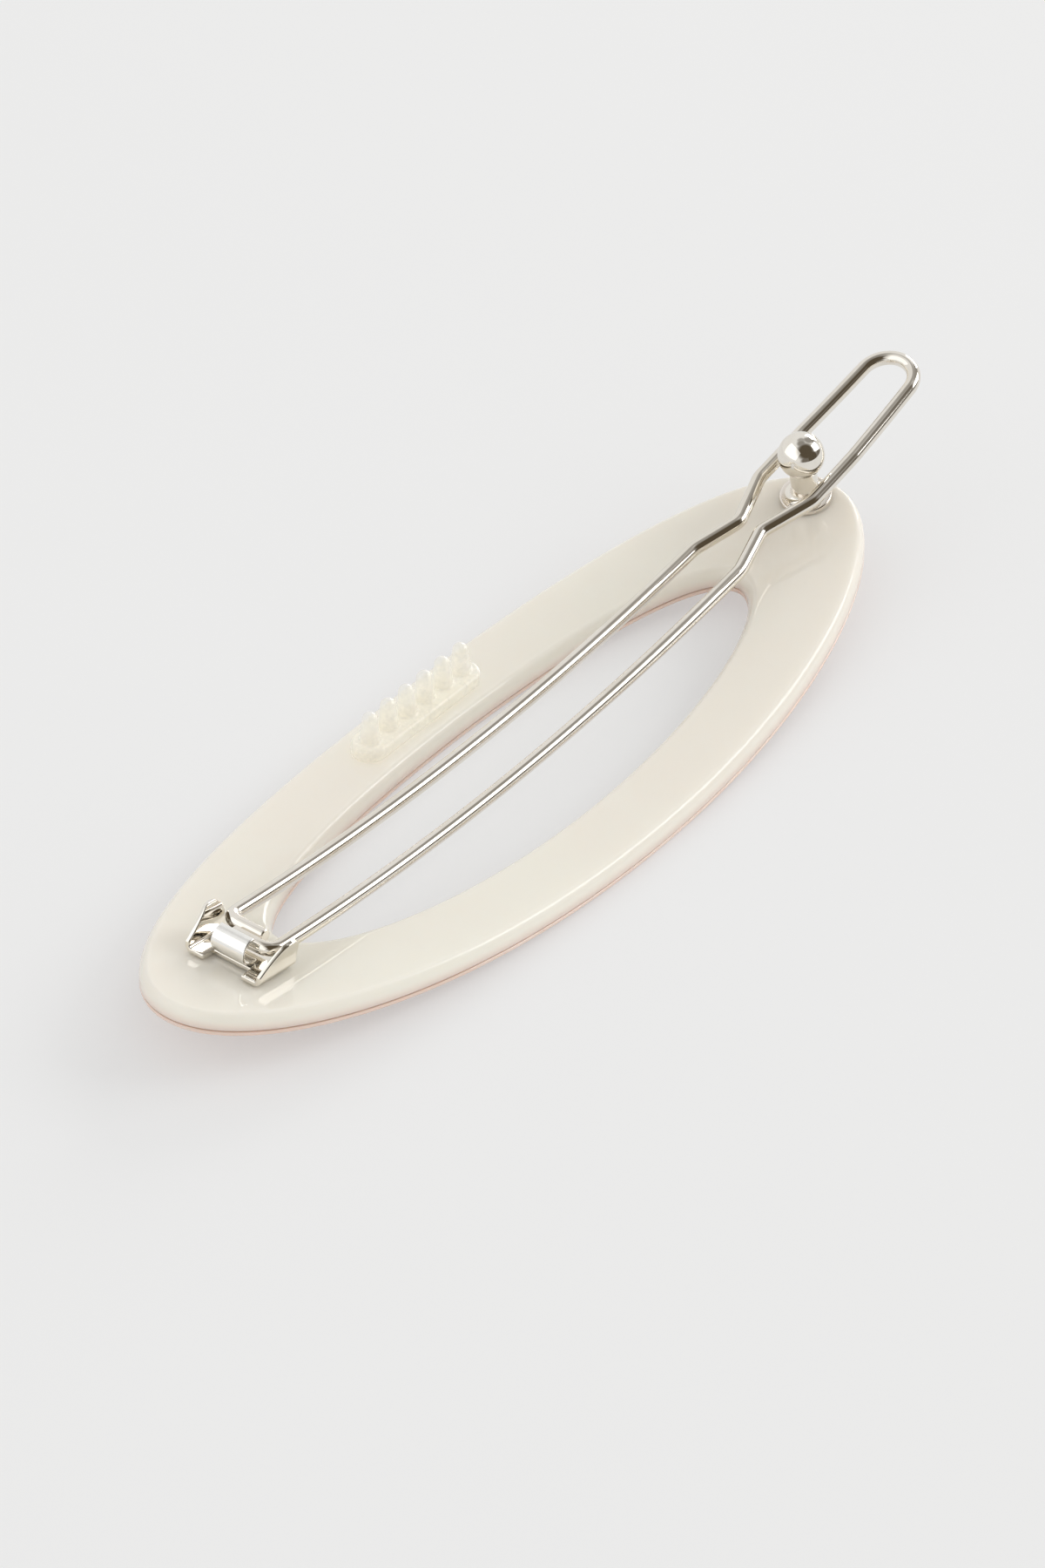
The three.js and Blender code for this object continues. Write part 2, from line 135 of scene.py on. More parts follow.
# how far a rounded edge falls at a distance from it: nothing beyond the radius, down a quarter circle within it
def roundedEdge(distance, radius):
    short = radius - np.clip(distance, 0, radius)
    return np.sqrt(radius ** 2 - short ** 2) - radius


# a node group with inputs of (label, kind, value) and outputs of (label, kind)
def newGroup(name, inputs, outputs):
    group = bpy.data.node_groups.new(name, "ShaderNodeTree")
    for label, kind, value in inputs:
        group.interface.new_socket(label, in_out="INPUT", socket_type="NodeSocket" + kind).default_value = value
    for label, kind in outputs:
        group.interface.new_socket(label, in_out="OUTPUT", socket_type="NodeSocket" + kind)
    return group, group.nodes.new("NodeGroupInput"), group.nodes.new("NodeGroupOutput")


# a node with its settings, and sockets given as values or as links from other nodes' outputs
def addNode(tree, kind, settings=None, sockets=None):
    node = tree.nodes.new("ShaderNode" + kind)
    for key, value in (settings or {}).items():
        setattr(node, key, value)
    for key, value in (sockets or {}).items():
        if isinstance(value, bpy.types.NodeSocket):
            tree.links.new(value, node.inputs[key])
        else:
            node.inputs[key].default_value = value
    return node


# a smooth step from low to high, put out between two values
def ramp(tree, value, low, high, toLow=0.0, toHigh=1.0):
    return addNode(tree, "MapRange", {"interpolation_type": "SMOOTHSTEP"},
                   {"Value": value, "From Min": low, "From Max": high,
                    "To Min": toLow, "To Max": toHigh}).outputs["Result"]


# one arithmetic node
def maths(tree, operation, a, b):
    return addNode(tree, "Math", {"operation": operation}, {0: a, 1: b}).outputs[0]


# slow change between two tints, with a finer mottle over it
def makeTintDrift():
    group, given, out = newGroup(
        "tintDrift",
        [("Vector", "Vector", (0, 0, 0)), ("Scale", "Float", 40.0), ("Mottle", "Float", 0.25),
         ("Tint", "Color", (1, 1, 1, 1)), ("Other tint", "Color", (1, 1, 1, 1))],
        [("Color", "Color"), ("Mask", "Float")])
    slow = addNode(group, "TexNoise", None, {"Vector": given.outputs["Vector"], "Scale": given.outputs["Scale"],
                                             "Detail": 3.0, "Roughness": 0.45})
    fineScale = maths(group, "MULTIPLY", given.outputs["Scale"], 9.0)  # the mottle is nine times finer
    fine = addNode(group, "TexNoise", None, {"Vector": given.outputs["Vector"], "Scale": fineScale,
                                             "Detail": 2.0, "Roughness": 0.5})
    fineOff = maths(group, "SUBTRACT", fine.outputs["Fac"], 0.5)
    fineShare = maths(group, "MULTIPLY", fineOff, given.outputs["Mottle"])
    mask = ramp(group, maths(group, "ADD", slow.outputs["Fac"], fineShare), 0.32, 0.68)
    mix = addNode(group, "Mix", {"data_type": "RGBA"},
                  {0: mask, 6: given.outputs["Tint"], 7: given.outputs["Other tint"]})
    group.links.new(mix.outputs[2], out.inputs["Color"])
    group.links.new(mask, out.inputs["Mask"])
    return group


# hairline marks from polishing: two stretched noises at an angle, kept only where they peak
def makeHairlines():
    group, given, out = newGroup(
        "hairlines",
        [("Vector", "Vector", (0, 0, 0)), ("Scale", "Float", 60.0), ("Depth", "Float", 1.0)],
        [("Height", "Float")])
    grooves = []
    for angle, stretch in ((0.35, 26.0), (-0.5, 19.0)):
        turned = addNode(group, "Mapping", None, {"Vector": given.outputs["Vector"],
                                                  "Rotation": (0.15, 0.1, angle), "Scale": (1.0, stretch, stretch)})
        lines = addNode(group, "TexNoise", None, {"Vector": turned.outputs["Vector"],
                                                  "Scale": given.outputs["Scale"], "Detail": 2.0})
        grooves.append(ramp(group, lines.outputs["Fac"], 0.66, 0.74))
    left = maths(group, "SUBTRACT", 1.0, maths(group, "MAXIMUM", *grooves))
    group.links.new(maths(group, "MULTIPLY", left, given.outputs["Depth"]), out.inputs["Height"])
    return group


# gloss that comes and goes with handling: broad smudges and fine specks between two roughnesses
def makeHandling():
    group, given, out = newGroup(
        "handling",
        [("Vector", "Vector", (0, 0, 0)), ("Scale", "Float", 120.0),
         ("Clean", "Float", 0.08), ("Smudged", "Float", 0.18)],
        [("Roughness", "Float")])
    smear = addNode(group, "TexNoise", None, {"Vector": given.outputs["Vector"], "Scale": given.outputs["Scale"],
                                              "Detail": 4.0, "Roughness": 0.6, "Distortion": 0.6})
    specks = addNode(group, "TexVoronoi", None, {"Vector": given.outputs["Vector"],
                                                 "Scale": maths(group, "MULTIPLY", given.outputs["Scale"], 14.0)})
    speckMask = ramp(group, specks.outputs["Distance"], 0.16, 0.05)
    smearMask = ramp(group, smear.outputs["Fac"], 0.45, 0.72)
    mask = maths(group, "MAXIMUM", smearMask, maths(group, "MULTIPLY", speckMask, 0.6))
    spread = maths(group, "SUBTRACT", given.outputs["Smudged"], given.outputs["Clean"])
    group.links.new(maths(group, "ADD", given.outputs["Clean"], maths(group, "MULTIPLY", mask, spread)),
                    out.inputs["Roughness"])
    return group


# fine lines along a drawn or rolled metal: noise on the piece's own map, long one way and narrow the other
def makeDrawnLines():
    group, given, out = newGroup(
        "drawnLines",
        [("Vector", "Vector", (0, 0, 0)), ("Along", "Float", 0.4), ("Across", "Float", 30.0)],
        [("Height", "Float")])
    scale = addNode(group, "CombineXYZ", None, {"X": given.outputs["Along"], "Y": given.outputs["Across"],
                                                "Z": 1.0})
    stretched = addNode(group, "VectorMath", {"operation": "MULTIPLY"},
                        {0: given.outputs["Vector"], 1: scale.outputs["Vector"]})
    lines = addNode(group, "TexNoise", None, {"Vector": stretched.outputs["Vector"], "Scale": 1.0,
                                              "Detail": 4.0, "Roughness": 0.65})
    group.links.new(lines.outputs["Fac"], out.inputs["Height"])
    return group


tintDrift = makeTintDrift()
hairlines = makeHairlines()
handling = makeHandling()
drawnLines = makeDrawnLines()
print("shader groups made")


# a material, with constants set on its shader
def newMaterial(name, constants):
    material = bpy.data.materials.new(name)
    material.use_nodes = True
    tree = material.node_tree
    shader = tree.nodes["Principled BSDF"]
    for key, value in constants.items():
        shader.inputs[key].default_value = value
    return material, tree, shader


def placeGroup(tree, group, sockets):
    return addNode(tree, "Group", {"node_tree": group}, sockets)


# what every finish of the part has: a drift of tint and a gloss that comes and goes, by object coordinates
def tintAndGloss(tree, shader, look, driftScale, mottle, smudgeScale):
    place = addNode(tree, "TexCoord").outputs["Object"]
    tint = placeGroup(tree, tintDrift, {"Vector": place, "Scale": driftScale, "Mottle": mottle,
                                        "Tint": look["tint"], "Other tint": look["otherTint"]})
    gloss = placeGroup(tree, handling, {"Vector": place, "Scale": smudgeScale,
                                        "Clean": look["gloss"][0], "Smudged": look["gloss"][1]})
    tree.links.new(gloss.outputs["Roughness"], shader.inputs["Roughness"])
    return place, tint.outputs["Color"], tint.outputs["Mask"]


# the colour and the relief of a finish, the last as a bump of a height
def colourAndRelief(tree, shader, colour, height, strength, distance):
    bump = addNode(tree, "Bump", None, {"Height": height, "Strength": strength, "Distance": distance})
    tree.links.new(colour, shader.inputs["Base Color"])
    tree.links.new(bump.outputs["Normal"], shader.inputs["Normal"])


# painted glow: a peach colour painted into the ivory near the seam stands for light that the rose layer below sends
# up through the translucent ivory; it fades in with the depth under the arched back face, whose
#  height is taken as x squared over twice the arch radius
def paintSeamGlow(tree, place, colour, look):
    axes = addNode(tree, "SeparateXYZ", None, {"Vector": place}).outputs
    x = maths(tree, "SUBTRACT", axes["X"], ringMiddle[0])
    arch = maths(tree, "DIVIDE", maths(tree, "MULTIPLY", x, x), 2 * ring["archRadius"] * mm)
    depth = maths(tree, "SUBTRACT", maths(tree, "ADD", arch, ringMiddle[2]), axes["Z"])
    share = ramp(tree, depth, look["seamFade"][0] * mm, look["seamFade"][1] * mm)
    mix = addNode(tree, "Mix", {"data_type": "RGBA"}, {0: share, 6: colour, 7: look["paintedSeamGlow"]})
    return mix.outputs[2]


# polished cellulose acetate: a slow drift of tint, hairlines left by the buffing wheel, a few smudges, and where a
# look asks for it a painted glow near the seam
def makeAcetate(look):
    material, tree, shader = newMaterial(look["name"], {
        "IOR": 1.49, "Subsurface Weight": look["glow"], "Subsurface Scale": 0.001,
        "Subsurface Radius": look["glowRadius"]})
    place, colour, _ = tintAndGloss(tree, shader, look, look["driftScale"], mottle=0.3, smudgeScale=90.0)
    marks = placeGroup(tree, hairlines, {"Vector": place, "Scale": 55.0, "Depth": 1.0})
    # painted glow: the rose layer's light shining up through the ivory, painted into its colour near the seam
    if "paintedSeamGlow" in look:
        colour = paintSeamGlow(tree, place, colour, look)
    colourAndRelief(tree, shader, colour, marks.outputs["Height"], look["markStrength"], distance=0.00002)
    return material


# nickel plate or bare steel: lines from drawing or rolling, a warm drift of tint, smudges
def makeNickel(look):
    material, tree, shader = newMaterial(look["name"], {"Metallic": 1.0})
    along = addNode(tree, "UVMap", {"uv_map": "along"}).outputs["UV"]
    _, colour, _ = tintAndGloss(tree, shader, look, driftScale=160.0, mottle=0.4, smudgeScale=260.0)
    lines = placeGroup(tree, drawnLines, {"Vector": along, "Along": look["lines"][0], "Across": look["lines"][1]})
    colourAndRelief(tree, shader, colour, lines.outputs["Height"], look["lineStrength"], distance=0.00001)
    return material


# clear moulded resin, a little yellow, with soft flow ripples: its front faces are thinly clouded, its far faces
# clear, and most light goes through it
def makeClearResin(look):
    material, tree, shader = newMaterial(look["name"], {
        "IOR": 1.46, "Transmission Weight": 0.0, "Metallic": 0.0, "Coat Weight": 1.0, "Coat Roughness": 0.04})
    place, colour, mask = tintAndGloss(tree, shader, look, driftScale=220.0, mottle=0.3, smudgeScale=300.0)
    flow = addNode(tree, "TexNoise", None, {"Vector": place, "Scale": 900.0, "Detail": 2.0})
    cloud = ramp(tree, mask, 0.0, 1.0, *look["cloud"])
    farFace = addNode(tree, "NewGeometry").outputs["Backfacing"]
    shadowRay = addNode(tree, "LightPath").outputs["Is Shadow Ray"]
    clear = maths(tree, "MAXIMUM", farFace, maths(tree, "MULTIPLY", shadowRay, look["lightPast"]))
    tree.links.new(maths(tree, "MULTIPLY", cloud, maths(tree, "SUBTRACT", 1.0, clear)), shader.inputs["Alpha"])
    colourAndRelief(tree, shader, colour, flow.outputs["Fac"], strength=0.45, distance=0.00008)
    return material


brightNickel = makeNickel({"name": "brightNickel",
                           "tint": (0.86, 0.825, 0.76, 1), "otherTint": (0.81, 0.77, 0.695, 1),
                           "gloss": (0.025, 0.08), "lines": (3.0, 90.0), "lineStrength": 0.04})
satinNickel = makeNickel({"name": "satinNickel",
                          "tint": (0.87, 0.82, 0.76, 1), "otherTint": (0.82, 0.765, 0.70, 1),
                          "gloss": (0.2, 0.3), "lines": (3.0, 60.0), "lineStrength": 0.08})
leafSteel = makeNickel({"name": "leafSteel",
                        "tint": (0.93, 0.92, 0.89, 1), "otherTint": (0.89, 0.88, 0.85, 1),
                        "gloss": (0.14, 0.26), "lines": (1.2, 60.0), "lineStrength": 0.2})
drawnNickel = makeNickel({"name": "drawnNickel",
                          "tint": (0.84, 0.80, 0.735, 1), "otherTint": (0.79, 0.745, 0.665, 1),
                          "gloss": (0.025, 0.07), "lines": (0.25, 26.0), "lineStrength": 0.04})
clearResin = makeClearResin({"name": "clearResin",
                             "tint": (0.99, 0.96, 0.86, 1), "otherTint": (0.985, 0.945, 0.80, 1),
                             "gloss": (0.06, 0.14), "cloud": (0.42, 0.58), "lightPast": 0.9})
print("metal and resin finishes made")


ring = {"length": 85.93, "width": 27.97, "squareness": 2.07,
        "openingLength": 58.8, "openingWidth": 14.8, "openingSquareness": 1.96, "openingShift": 0.3,
        "archRadius": 234.0, "stations": 640, "creaseSteps": 9, "wallSteps": 8, "faceSteps": 12}
backLayer = {"seam": -1.5, "face": 0.0, "seamBevel": 0.06,
             "crease": 50.0, "creaseRound": 0.5, "wallRound": 1.7}
faceLayer = {"seam": -1.6, "face": -ringDepth, "seamBevel": 0.06,
             "crease": 45.0, "creaseRound": 0.35, "wallRound": 0.35}
ivoryAcetate = makeAcetate({"name": "ivoryAcetate",
                            "tint": (0.885, 0.85, 0.757, 1), "otherTint": (0.885, 0.83, 0.742, 1),
                            "driftScale": 45.0, "gloss": (0.02, 0.06), "markStrength": 0.05,
                            "glow": 0.8, "glowRadius": (1.35, 1.3, 1.25),
                            # a peach colour painted near the seam for the rose layer's light shining up through the
                            # ivory, and the depths in mm over which it fades in
                            "paintedSeamGlow": (0.89, 0.72, 0.62, 1), "seamFade": (0.5, 1.5)})
roseAcetate = makeAcetate({"name": "roseAcetate",
                           "tint": (0.875, 0.67, 0.575, 1), "otherTint": (0.85, 0.63, 0.535, 1),
                           "driftScale": 70.0, "gloss": (0.05, 0.12), "markStrength": 0.06,
                           "glow": 0.4, "glowRadius": (1.2, 0.8, 0.6)})
print("acetate finishes made")


# height of the arched back face: a circle of the arch radius, over its lowest line
def backFace(x):
    return ring["archRadius"] - np.sqrt(ring["archRadius"] ** 2 - x ** 2)


# points in a frame that stands on the back face at x and y: turned about Y so that Z is the face's normal
def standOnBack(points, x, y=0.0):
    lean = -np.arcsin(x / ring["archRadius"])
    turn = np.array([[np.cos(lean), 0, np.sin(lean)], [0, 1, 0], [-np.sin(lean), 0, np.cos(lean)]])
    return points @ turn.T + np.array([x, y, backFace(x)])


# oval |x / a| ** n + |y / b| ** n = 1 at angle t, and its outward normal from the gradient
def oval(length, width, squareness, shift, t):
    along = np.sign(np.cos(t)) * np.abs(np.cos(t)) ** (2 / squareness)
    across = np.sign(np.sin(t)) * np.abs(np.sin(t)) ** (2 / squareness)
    slope = np.stack([np.sign(along) * np.abs(along) ** (squareness - 1) / length,
                      np.sign(across) * np.abs(across) ** (squareness - 1) / width], -1)
    return np.stack([shift + along * length / 2, across * width / 2], -1), unit(slope)


# edge of a layer from its wall to its face, as inset and drop: from the face, the normal tilts on a tight circle
# as far as the crease angle, and from there to level on a wide one
def layerEdge(layer):
    tight, wide, crease = layer["creaseRound"], layer["wallRound"], np.radians(layer["crease"])
    tilt = np.concatenate([np.linspace(np.pi / 2, crease, ring["wallSteps"]),
                           np.linspace(crease, 0, ring["creaseSteps"])[1:]])
    onTight, onWide = np.minimum(tilt, crease), np.maximum(tilt, crease)
    out = tight * np.sin(onTight) + wide * (np.sin(onWide) - np.sin(crease))
    drop = tight * (1 - np.cos(onTight)) + wide * (np.cos(crease) - np.cos(onWide))
    return out[0] - out, drop


# section of a layer, from the opening's wall over the face to the rim and back along the seam:
# share is 0 at the opening and 1 at the rim, inset is into the material, height is over the back face
def layerSection(layer):
    up = np.sign(layer["face"] - layer["seam"])
    bevel = layer["seamBevel"]
    edgeInset, edgeDrop = layerEdge(layer)
    wallInset = np.concatenate([[bevel, 0], edgeInset])
    wallHeight = np.concatenate([[layer["seam"], layer["seam"] + up * bevel], layer["face"] - up * edgeDrop])
    acrossFace = (1 - np.cos(np.linspace(0, np.pi, ring["faceSteps"] + 2)[1:-1])) / 2
    flat = np.ones_like(acrossFace)
    share = np.concatenate([0 * wallInset, acrossFace, 0 * wallInset + 1, acrossFace[::-1]])
    inset = np.concatenate([wallInset, flat * edgeInset[-1], wallInset[::-1], flat * bevel])
    height = np.concatenate([wallHeight, flat * layer["face"], wallHeight[::-1], flat * layer["seam"]])
    return share, inset, height


# a layer of the ring: the section carried round between the opening's oval and the rim's
def makeLayer(name, node, material, layer):
    t = (np.arange(ring["stations"]) + 0.5) / ring["stations"] * 2 * np.pi
    rim, rimNormal = oval(ring["length"], ring["width"], ring["squareness"], 0, t)
    hole, holeNormal = oval(ring["openingLength"], ring["openingWidth"], ring["openingSquareness"],
                            ring["openingShift"], t)
    share, inset, height = layerSection(layer)
    outer = rim[:, None] - rimNormal[:, None] * inset[None, :, None]
    inner = hole[:, None] + holeNormal[:, None] * inset[None, :, None]
    plan = inner + (outer - inner) * share[None, :, None]
    grid = np.concatenate([plan, (backFace(plan[..., 0]) + height)[..., None]], -1)
    rows, columns = grid.shape[:2]
    faces = gridFaces(rows, columns, wrapRows=True)
    makePiece(name, node, "root", material, grid.reshape(-1, 3), [faces])


makeLayer("ivoryLayer", "back_layer", ivoryAcetate, backLayer)
makeLayer("roseLayer", "face_layer", roseAcetate, faceLayer)


# a bent sheet: its middle line is a path of points with normals, and at each of them the sheet reaches from
# low to high across the path. Both faces lie half a thickness off, and all edges are rounded.
# Gives rows of (across, path point) with the section going once round the sheet.
def bentSheet(path, normals, low, high, thickness, edge, acrossSteps=24, edgeSteps=5, thinnest=0.02):
    half = thickness / 2
    length = arcLength(path)
    toEnd = np.minimum(length, length[-1] - length)
    endDrop = -roundedEdge(toEnd, edge)
    angle = np.linspace(0, np.pi / 2, edgeSteps)
    spread = np.linspace(0, 1, acrossSteps + 2)[1:-1]
    # one quarter round at each edge: out by edge * sin, down by edge * (1 - cos)
    side = np.concatenate([spread, np.ones(edgeSteps * 2), spread[::-1], np.zeros(edgeSteps * 2)])
    none = np.zeros_like(spread)
    sine, drop = edge * np.sin(angle), edge * (1 - np.cos(angle))
    reach = np.concatenate([none, sine, sine[::-1], none, -sine, -sine[::-1]])
    cut = np.concatenate([none, drop, drop[::-1], none, drop, drop[::-1]])
    face = np.repeat([1.0, -1.0, 1.0], [acrossSteps + edgeSteps, acrossSteps + 2 * edgeSteps, edgeSteps])
    inLow, inHigh = low + edge, high - edge
    across = inLow[:, None] + (inHigh - inLow)[:, None] * side[None] + reach[None]
    off = face[None] * np.maximum(half - cut[None] - endDrop[:, None], thinnest)
    place = path[:, None] + normals[:, None] * off[..., None]
    uv = np.stack([np.broadcast_to(length[:, None], across.shape), across], -1)
    return across, place, uv


# a sheet's section placed on the back face at x, with a pole point on each end
def sheetPiece(name, node, material, local, x, uv):
    placed = standOnBack(local.reshape(-1, 3), x).reshape(local.shape)
    poles = np.stack([placed[0].mean(0), placed[-1].mean(0)])
    points, faces = closedTube(placed, poles)
    poleUv = np.stack([uv[0].mean(0), uv[-1].mean(0)])
    makePiece(name, node, "root", material, points, faces,
              uv=np.concatenate([uv.reshape(-1, 2), poleUv]))


wire = {"diameter": 1.2, "sides": 28, "stations": 1500, "bowRadius": 209.0, "endRound": 0.14,
        "legSpread": 5.5, "endGap": 0.1, "endOverlap": 1.1, "endBend": 1.2,
        "throat": (11.6, 4.77, 3.0), "waist": (7.05, 2.2, 1.6), "eyeStart": (2.15, 2.5),
        "eyeEnd": (3.7, 2.5), "eyeClearance": 0.12, "tipSpread": 4.7, "tipX": 53.35,
        "bendSteps": 40, "tipSteps": 80, "endSteps": 7}
hinge = {"x": -33.3, "bond": 0.15, "clearance": 0.15, "sheet": 0.4, "rear": 3.15, "front": 1.3,
         "foldRound": 0.25, "earFlare": 6.0, "earRear": 0.9, "earRise": 1.25, "earTopLength": 2.7,
         "earRound": 1.3, "notchDepth": 1.25, "notchMargin": 0.25, "notchBlend": 0.12, "notchSpace": 0.16,
         "edge": 0.1, "baseSteps": (12, 9, 8), "foldSteps": 16, "earSteps": 46}
leaf = {"sheet": 0.25, "width": 3.3, "curl": 1.05, "foot": 0.6, "reach": 0.12, "edge": 0.09,
        "curlSteps": 48, "footSteps": 14, "reachSteps": 10, "edgeSteps": 6, "stations": 70}

wireRadius = wire["diameter"] / 2
endOffset = (wire["diameter"] + wire["endGap"]) / 2
endSweep = endOffset + wireRadius
baseTop = hinge["bond"] + hinge["sheet"]
axisHeight = baseTop + hinge["clearance"] + endSweep


# middle line of the bracket's section in (y, z): a flat base, quarter-circle folds and ears on a circle that
# bows outwards; only one side is worked out, and the other is its mirror
def bracketPath():
    half = hinge["sheet"] / 2
    fold = hinge["foldRound"] + half
    foldTop = hinge["bond"] + half + fold
    flare = hinge["earFlare"]
    innerBow = flare + half - np.sqrt((flare + half) ** 2 - (axisHeight - foldTop) ** 2)
    earFoot = wire["legSpread"] / 2 + wireRadius + hinge["clearance"] - innerBow + half
    earTop = axisHeight + hinge["earRise"]
    notchSide = leaf["width"] / 2 + hinge["notchMargin"]
    blend, space, steps = hinge["notchBlend"], hinge["notchSpace"], hinge["baseSteps"]
    baseY = np.concatenate([np.linspace(0, notchSide - space, steps[0]),
                            notchSide + np.linspace(-blend, blend, steps[1]),
                            np.linspace(notchSide + space, earFoot - fold, steps[2])[:-1]])
    base = np.stack([baseY, np.full_like(baseY, hinge["bond"] + half)], -1)
    angle = np.linspace(0, np.pi / 2, hinge["foldSteps"])
    bend = np.stack([earFoot - fold * (1 - np.sin(angle)), foldTop - fold * np.cos(angle)], -1)
    z = foldTop + (earTop - foldTop) * np.sin(np.linspace(0, np.pi / 2, hinge["earSteps"])[1:])
    ear = np.stack([earFoot + flare - np.sqrt(flare ** 2 - (z - foldTop) ** 2), z], -1)
    lean = np.arcsin((z - foldTop) / flare)
    normals = np.concatenate([np.tile([0.0, 1.0], (len(base), 1)),
                              np.stack([-np.sin(angle), np.cos(angle)], -1),
                              np.stack([-np.cos(lean), np.sin(lean)], -1)])
    side = np.concatenate([base, bend, ear])
    mirror = np.array([-1.0, 1.0])
    path = np.concatenate([side[:0:-1] * mirror, side])
    return path, np.concatenate([normals[:0:-1] * mirror, normals]), earTop, notchSide


# how far the bracket reaches along X at each point of its section: the ears' outline has an upright rear end,
# a slope that touches the round top corner, and a round front corner; the base has a notch behind
def bracketReach(path, earTop, notchSide):
    y, z = path[:, 0], path[:, 1]
    radius = hinge["earRound"]
    cornerZ = earTop - radius
    topRear = hinge["front"] - hinge["earTopLength"] + radius
    over = np.sqrt(np.maximum(radius ** 2 - np.maximum(z - cornerZ, 0) ** 2, 0))
    high = hinge["front"] - radius + over
    rearTop = hinge["bond"] + hinge["earRear"]
    rise, run = rearTop - cornerZ, -hinge["rear"] - topRear
    touch = np.arctan2(rise, run) + 2 * np.pi - np.arccos(radius / np.hypot(rise, run))
    touchX, touchZ = topRear + radius * np.cos(touch), cornerZ + radius * np.sin(touch)
    slope = np.interp(z, [rearTop, touchZ], [-hinge["rear"], touchX])
    low = np.where(z > touchZ, topRear - over, slope)
    blend = hinge["notchBlend"]
    inNotch = np.clip((notchSide + blend / 2 - np.abs(y)) / blend, 0, 1) * (z < baseTop)
    return low + hinge["notchDepth"] * inNotch * inNotch * (3 - 2 * inNotch), high


# the bracket's section carried along X, as far as it reaches
def makeBracket():
    path, normals, earTop, notchSide = bracketPath()
    low, high = bracketReach(path, earTop, notchSide)
    across, place, uv = bentSheet(path, normals, low, high, hinge["sheet"], hinge["edge"])
    local = np.stack([across, place[..., 0], place[..., 1]], -1)
    sheetPiece("hingeBracket", "hinge_bracket", brightNickel, local, hinge["x"], uv)


# the leaf's middle line in (x, z): a flat foot, a half circle behind the wire's ends and a short free end
def makeLeaf():
    footBottom = baseTop + hinge["bond"]
    sweep = endSweep + hinge["clearance"]
    footEnd = -np.sqrt(sweep ** 2 - (axisHeight - footBottom - leaf["sheet"]) ** 2)
    curlX, curlZ = footEnd - leaf["foot"], footBottom + leaf["sheet"] / 2 + leaf["curl"]
    angle = np.linspace(1.5 * np.pi, 0.5 * np.pi, leaf["curlSteps"])
    arc = np.stack([curlX + leaf["curl"] * np.cos(angle), curlZ + leaf["curl"] * np.sin(angle)], -1)
    footX = np.linspace(leaf["foot"], 0, leaf["footSteps"])[:-1]
    endX = np.linspace(0, leaf["reach"], leaf["reachSteps"])[1:]
    line = np.concatenate([np.stack([curlX + footX, np.full_like(footX, curlZ - leaf["curl"])], -1), arc,
                           np.stack([curlX + endX, np.full_like(endX, curlZ + leaf["curl"])], -1)])
    total, edge = arcLength(line)[-1], leaf["edge"]
    ends = edge * np.append(1 - np.cos(np.linspace(0, np.pi / 2, leaf["edgeSteps"])), 1.3)
    stations = np.concatenate([ends, np.linspace(edge * 2, total - edge * 2, leaf["stations"]), total - ends[::-1]])
    path = pointsAt(line, stations)
    tangent = unit(np.gradient(path, axis=0))
    normals = np.stack([-tangent[:, 1], tangent[:, 0]], -1)
    reach = np.full(len(path), leaf["width"] / 2)
    across, place, uv = bentSheet(path, normals, -reach, reach, leaf["sheet"], edge)
    local = np.stack([place[..., 0], across, place[..., 1]], -1)
    sheetPiece("springLeaf", "spring_leaf", leafSteel, local, hinge["x"], uv)


makeBracket()
makeLeaf()


post = {"x": 40.0, "aside": 0.7, "ball": 3.95, "ballHeight": 4.95, "latchDrop": 1.84, "neck": 2.3,
        "neckFlare": 0.6, "shank": 1.6, "foot": 4.4, "footThickness": 0.4, "footBevel": 0.15, "bore": 1.0,
        "seatGap": 0.03, "sides": 96, "flareSteps": 20, "neckSteps": 8, "ballSteps": 60, "bevelSteps": 10,
        "plateSteps": 8}
footTop = hinge["bond"] + post["footThickness"]


# points about the middle of the post's foot
def standOnPost(points):
    return standOnBack(np.asarray(points), post["x"], post["aside"])


# a profile of (radius, height) turned once round the post's axis
def turned(profile):
    angle = np.arange(post["sides"]) / post["sides"] * 2 * np.pi
    radius, height = profile[:, 0, None], profile[:, 1, None]
    grid = np.stack([radius * np.cos(angle), radius * np.sin(angle), height + 0 * angle], -1)
    return standOnPost(grid.reshape(-1, 3)).reshape(grid.shape)


# map of a turned piece: share of a turn, and distance along the profile
def turnedUv(profile):
    angle = np.arange(post["sides"]) / post["sides"]
    length = arcLength(profile)[:, None]
    return np.stack([angle + 0 * length, length + 0 * angle], -1).reshape(-1, 2)


# stud: a shank, a neck that flares to the foot plate on a quarter circle, and the ball's circle to its top
def makeStud():
    shoulder = footTop + post["seatGap"]
    flareTop = shoulder + post["neckFlare"]
    angle = np.linspace(0, np.pi / 2, post["flareSteps"])
    flare = np.stack([post["neck"] / 2 + post["neckFlare"] * (1 - np.sin(angle)),
                      shoulder + post["neckFlare"] * (1 - np.cos(angle))], -1)
    ballRadius = post["ball"] / 2
    neckAngle = np.arcsin(post["neck"] / post["ball"])
    sweep = np.linspace(neckAngle, np.pi, post["ballSteps"])[:-1]
    ball = np.stack([ballRadius * np.sin(sweep), post["ballHeight"] - ballRadius * np.cos(sweep)], -1)
    neckZ = np.linspace(flareTop, ball[0, 1], post["neckSteps"])[1:-1]
    neck = np.stack([np.full_like(neckZ, post["neck"] / 2), neckZ], -1)
    shank = np.array([[post["shank"] / 2, hinge["bond"]], [post["shank"] / 2, shoulder]])
    profile = np.concatenate([shank, flare, neck, ball])
    grid = turned(profile)
    poles = standOnPost([[0, 0, hinge["bond"]], [0, 0, post["ballHeight"] + ballRadius]])
    points, faces = closedTube(grid, poles)
    uv = np.concatenate([turnedUv(profile), [[0, 0], [0, 0]]])
    makePiece("ballStud", "ball_stud", "root", brightNickel, points, faces, uv=uv)


